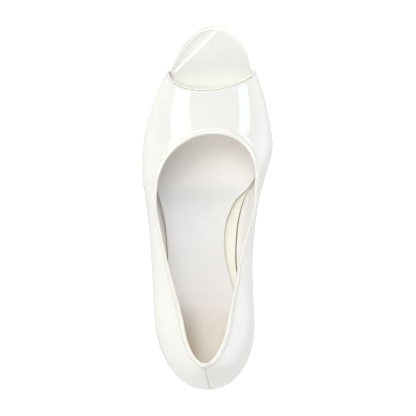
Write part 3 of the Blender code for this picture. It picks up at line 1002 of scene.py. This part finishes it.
def addNode(tree, kind, settings, links):
    # a node with its settings, and links as (own input, other node, other output)
    node = tree.nodes.new(kind)
    for name, value in settings.items():
        if name in node.inputs:
            node.inputs[name].default_value = value
        else:
            setattr(node, name, value)
    for name, other, output in links:
        tree.links.new(other.outputs[output], node.inputs[name])
    return node


def addRange(tree, source, output, ends, values, kind="SMOOTHSTEP"):
    # maps the ends of a range to two values
    return addNode(tree, "ShaderNodeMapRange",
                   {"From Min": ends[0], "From Max": ends[1], "To Min": values[0], "To Max": values[1],
                    "interpolation_type": kind}, [("Value", source, output)])


def addMath(tree, operation, first, second):
    node = addNode(tree, "ShaderNodeMath", {"operation": operation}, [])
    tree.links.new(first.outputs[0], node.inputs[0])
    tree.links.new(second.outputs[0], node.inputs[1])
    return node


def newMaterial(name, settings):
    material = bpy.data.materials.new(name)
    material.use_nodes = True
    tree = material.node_tree
    shader = tree.nodes["Principled BSDF"]
    for key, value in settings.items():
        shader.inputs[key].default_value = value
    return material, tree, shader


leather = {
    "blotchDetail": 3.0,
    "blotchEnds": (0.3, 0.7),   # noise values that take the dark and the light tone
    "grainHeight": 0.2,
}


def leatherLook(name, settings, dark, light, blotchSize, grainSize, grainDepth, roughLow, roughHigh,
                lightAndShadeZones=()):
    # leather: soft colour blotches, a fine pebbled grain and uneven gloss, sizes in mm
    material, tree, shader = newMaterial(name, settings)
    place = addNode(tree, "ShaderNodeTexCoord", {}, [])
    blotch = addNode(tree, "ShaderNodeTexNoise",
                     {"Scale": 1.0 / (blotchSize * mm), "Detail": leather["blotchDetail"]},
                     [("Vector", place, "Object")])
    tone = addNode(tree, "ShaderNodeValToRGB", {}, [("Fac", blotch, "Fac")])
    for stop, position, hexColour in zip(tone.color_ramp.elements, leather["blotchEnds"], (dark, light)):
        stop.position = position
        stop.color = linear(hexColour)
    colour = tone
    for zoneColour, ranges in lightAndShadeZones:
        # another tone that fades in along each named axis, from start to end in mm; these carry painted
        # light and shade fixed to the piece
        parts = addNode(tree, "ShaderNodeSeparateXYZ", {}, [("Vector", place, "Object")])
        share = None
        for axis, start, end in ranges:
            reach = addRange(tree, parts, axis, (start * mm, end * mm), (0.0, 1.0))
            share = addMath(tree, "MULTIPLY", share, reach) if share else reach
        colour = addNode(tree, "ShaderNodeMixRGB", {"Color2": linear(zoneColour)},
                         [("Fac", share, 0), ("Color1", colour, "Color")])
    tree.links.new(colour.outputs["Color"], shader.inputs["Base Color"])
    gloss = addRange(tree, blotch, "Fac", (0.0, 1.0), (roughLow, roughHigh), "LINEAR")
    tree.links.new(gloss.outputs["Result"], shader.inputs["Roughness"])
    grain = addNode(tree, "ShaderNodeTexVoronoi", {"Scale": 1.0 / (grainSize * mm), "feature": "SMOOTH_F1"},
                    [("Vector", place, "Object")])
    bump = addNode(tree, "ShaderNodeBump",
                   {"Strength": grainDepth, "Distance": leather["grainHeight"] * mm},
                   [("Height", grain, "Distance")])
    tree.links.new(bump.outputs["Normal"], shader.inputs["Normal"])
    return material


# patent leather, split hide under a poured lacquer film: the film gives hard clear reflections
# and the hide under it only a faint unevenness
patentLook = {
    "IOR": 1.5,
    "Specular IOR Level": 0.5,
    "Coat Weight": 1.0,
    "Coat Roughness": 0.025,
    "Coat IOR": 1.52,
}
patentLeather = leatherLook("patentLeather", patentLook, "e4e5df", "e8e8e2", 26.0, 1.6, 0.03, 0.035, 0.06)
# the binding is a folded strip of the same lacquered hide, a little yellower where it is stretched
bindingLeather = leatherLook("foldedBinding", patentLook, "e3e2d9", "e9e8e0", 12.0, 1.4, 0.04, 0.16, 0.24)
# insole board wrapped in lacquered hide, smooth and glossy where it shows at the toe; its lighter, yellower
# tone from under the toe edge of the vamp backwards is painted light that lifts the shade under that edge
# and along the arch border
wrapLeather = leatherLook("wrappedInsole", patentLook, "e7e8e1", "ecece6", 20.0, 1.8, 0.03, 0.07, 0.12,
                          [("f5f4e7", [("Y", 86.0, 64.0)])])
# pigskin style lining, dyed and only pressed: matte with fine pores
liningLook = {"IOR": 1.45, "Sheen Weight": 0.08, "Sheen Roughness": 0.5}
# the lining's tones: browner towards the heel, partly its own tan and partly painted shade of the heel cup;
# lighter under the throat, painted light that lifts the shade under the vamp; dark brown at the lateral
# heel, painted shade of that wall
liningLeather = leatherLook("liningLeather", liningLook, "f1efeb", "f6f5f3", 18.0, 1.1, 0.35, 0.5, 0.62,
                            [("e9dfd0", [("Y", -50.0, -95.0)]), ("f8f5f1", [("Y", 0.0, 35.0)]),
                             ("ac9c84", [("Y", -50.0, -84.0), ("X", 4.0, -12.0)])])
# the sock's tones: darker down the arch slope, painted shade that evens out the step of light at the heel
# seat; lighter and warmer in the heel seat, painted light in the shade of the heel cup; lighter under the
# throat, painted light; brown at the lateral heel, painted shade
sockLeather = leatherLook("sockLeather", liningLook, "ebeae8", "f2f1f0", 24.0, 1.1, 0.3, 0.48, 0.6,
                          [("e8e6e3", [("Y", 0.0, -40.0)]), ("f4f1eb", [("Y", -58.0, -66.0)]),
                           ("fbf5ec", [("Y", -58.0, -92.0)]), ("f6f2ed", [("Y", 5.0, 40.0)]),
                           ("c0b196", [("Y", -55.0, -96.0), ("X", 2.0, -15.0)])])
# cut edge of the sock, left raw; its browner, darker tone is painted shade of the narrow gap along the
# lining wall
cutEdgeShade = leatherLook("cutEdgeShade", {"IOR": 1.45}, "a89c86", "b8ac96", 6.0, 0.8, 0.4, 0.7, 0.85)
# vegetable tanned sole leather, waxed and burnished
soleLeather = leatherLook("soleLeather", {"IOR": 1.46, "Coat Weight": 0.15, "Coat Roughness": 0.3},
                          "b08d63", "c19e72", 16.0, 1.0, 0.35, 0.38, 0.52)
# needle line sunk beside each binding: its darker tone is painted shade of the fold
seamLook = {"IOR": 1.45}
collarSeamShade = leatherLook("collarSeamShade", seamLook, "d3d0c5", "dcd9cf", 5.0, 0.8, 0.3, 0.5, 0.7)
toeSeamShade = leatherLook("toeSeamShade", seamLook, "cbc2b1", "d5cdbe", 5.0, 0.8, 0.3, 0.5, 0.7)
backSeam = leatherLook("backSeam", seamLook, "b9b8a2", "c6c5b2", 5.0, 0.8, 0.3, 0.5, 0.7)
# waxed cotton thread, dull beside the lacquer
threadLook = leatherLook("cottonThread", {"IOR": 1.5}, "dddacb", "e6e3d5", 5.0, 0.6, 0.3, 0.5, 0.6)
# hard rubber of the heel tip, moulded: matte with a fine speckle
tipRubber = leatherLook("tipRubber", {"IOR": 1.5}, "a89a86", "b3a590", 5.0, 0.5, 0.3, 0.55, 0.7)
print("materials made")

# pieces

upperPiece = upperMesh([patentLeather, bindingLeather, liningLeather, collarSeamShade, toeSeamShade, backSeam])
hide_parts("upper")
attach(upperPiece, "root")
stitches = seamStitches(threadLook)
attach(stitches, "root")
print("upper made, faces:", len(upperPiece.data.polygons), "and stitches:", len(stitches.data.polygons))

insoleBack = (tuckCurves[lateral](0.0) + insole["inset"]) / shoe["planLength"]
toeStart, toeSpacing, toeCount = insole["toeStations"]
insoleStations = layerStations(insoleBack, 1.0, *insole["stations"])
insoleStations = sorted(insoleStations + [toeStart + toeSpacing * i for i in range(toeCount)])
insolePiece = layerMesh("wrappedInsole", insoleStations, insoleEdge, insoleSection, [wrapLeather])
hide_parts("insole")
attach(insolePiece, "root")

sockBack = (tuckCurves[lateral](0.0) + insole["inset"] + sock["border"]) / shoe["planLength"]
sockStations = layerStations(sockBack, sock["front"], *sock["stations"])
# the upright faces at both sides of a section take the cut edge with its painted shade
sockPiece = layerMesh("sockLining", sockStations, sockEdge, sockSection, [sockLeather, cutEdgeShade],
                      lambda j, size: 1 if j in (1, size - 1) else 0)
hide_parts("sock")
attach(sockPiece, "root")

soleBack = (tuckCurves[lateral](0.0) + outsole["inset"]) / shoe["planLength"]
soleFront = 1.0 - outsole["toeInset"] / shoe["planLength"]
soleStations = layerStations(soleBack, soleFront, *outsole["stations"])
solePiece = layerMesh("leatherSole", soleStations, outsoleEdge, outsoleSection, [soleLeather])
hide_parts("outsole")
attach(solePiece, "root")

heelPiece = loftRings("coveredHeel", [heelRing(i / (heel["rings"] - 1)) for i in range(heel["rings"])],
                      [patentLeather])
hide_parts("heel")
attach(heelPiece, "root")

tipPiece = loftRings("heelTip", [tipRing(z, shrink) for z, shrink in heel["tipRings"]], [tipRubber])
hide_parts("heel_tip")
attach(tipPiece, "root")
print("insole, sock, sole and heel made")

# camera, floor and light

view = {
    "distance": 1.2,            # camera over the floor, in metres
    "standX": 0.044,            # the camera stood over the inner side of the shoe
    "aim": (0.0, -0.0043, 0.0),
    "frameWidth": 0.2683,       # what the picture spans at the floor
    "sensor": 36.0,
}

cameraData = bpy.data.cameras.new("viewCamera")
cameraData.sensor_width = view["sensor"]
cameraData.lens = view["sensor"] * view["distance"] / view["frameWidth"]
camera = bpy.data.objects.new("viewCamera", cameraData)
bpy.context.scene.collection.objects.link(camera)
camera.location = (view["standX"], view["aim"][1], view["distance"])
toAim = Vector(view["aim"]) - camera.location
camera.rotation_euler = (0.0, -math.atan2(toAim.x, -toAim.z), 0.0)
bpy.context.scene.camera = camera


def addSoftbox(name, xRange, yRange, height, radiance, colour):
    # level softbox facing down, given by its edges in metres and its brightness
    width = xRange[1] - xRange[0]
    length = yRange[1] - yRange[0]
    data = bpy.data.lights.new(name, "AREA")
    data.shape = "RECTANGLE"
    data.size = width
    data.size_y = length
    data.energy = radiance * math.pi * width * length
    data.color = linear(colour)[:3]
    lamp = bpy.data.objects.new(name, data)
    lamp.location = (sum(xRange) / 2.0, sum(yRange) / 2.0, height)
    bpy.context.scene.collection.objects.link(lamp)
    return lamp


softboxes = [
    # name, x edges, y edges, height, brightness, colour
    # the two strips mirrored in the vamp
    ("stripLeft", (-1.1, -0.44), (-0.1, 1.6), 0.86, 1.75, "fffefb"),
    ("stripRight", (0.67, 1.5), (0.2, 1.6), 0.86, 1.9, "e2e6ff"),
    # over the toe, kept out of what the toe and the vamp mirror
    ("topFill", (-0.58, 0.28), (0.3, 1.0), 1.45, 4.8, "ffffff"),
    # low in front, reaches under the toe edge
    ("frontFill", (-0.44, 0.67), (1.3, 3.0), 0.86, 1.6, "ffffff"),
    # behind, reaches under the throat
    ("rearFill", (-1.1, 0.1), (-2.2, -0.5), 1.3, 2.4, "ffffff"),
]
for softbox in softboxes:
    addSoftbox(*softbox)

light = {
    "above": 0.28,              # room light from above and from below the horizon
    "below": 0.78,
    "horizon": (-0.1, 0.45),
    "lampTilt": -2.0,           # round ceiling lamp, degrees from straight above to the back
    "lampCore": 4.5,
    "lampEdge": 11.5,
    "lamp": 2.2,
    "sideGlow": 0.8,            # pale wall on the medial side
    "sideEdge": 0.72,
    "floor": "dcdcdb",
    "floorGlow": 0.6,
    "floorSize": 6.0,
    "floorDrop": 0.0002,        # just under the shoe
}

world = bpy.data.worlds.new("studio")
bpy.context.scene.world = world
world.use_nodes = True
room = world.node_tree
direction = addNode(room, "ShaderNodeTexCoord", {}, [])
heights = addNode(room, "ShaderNodeSeparateXYZ", {}, [("Vector", direction, "Generated")])
horizon = addRange(room, heights, "Z", light["horizon"], (light["below"], light["above"]), "LINEAR")
tilt = math.radians(light["lampTilt"])
facing = addNode(room, "ShaderNodeVectorMath", {"operation": "DOT_PRODUCT"},
                 [("Vector", direction, "Generated")])
facing.inputs[1].default_value = (0.0, -math.sin(tilt), math.cos(tilt))
lampEnds = [math.cos(math.radians(light[end])) for end in ("lampEdge", "lampCore")]
lamp = addRange(room, facing, "Value", lampEnds, (0.0, light["lamp"]))
sideWall = addRange(room, heights, "X", (light["sideEdge"], 1.0), (0.0, light["sideGlow"]))
strength = addMath(room, "ADD", addMath(room, "ADD", horizon, lamp), sideWall)
room.links.new(strength.outputs["Value"], room.nodes["Background"].inputs["Strength"])
room.nodes["Background"].inputs["Color"].default_value = (1.0, 1.0, 1.0, 1.0)

# seamless white paper, lit through from below as on a product table
paper = newMaterial("whitePaper", {
    "Base Color": linear(light["floor"]), "Roughness": 0.8,
    "Emission Color": (1.0, 1.0, 1.0, 1.0), "Emission Strength": light["floorGlow"]})[0]
bpy.ops.mesh.primitive_plane_add(size=light["floorSize"], location=(0.0, 0.0, -light["floorDrop"]))
floor = bpy.context.object
floor.name = "floor"
floor.data.materials.append(paper)
floor.visible_glossy = False        # the lacquer mirrors the room, not its own paper

bpy.context.scene.view_settings.view_transform = "Standard"
print("studio made")

bpy.context.view_layer.update()
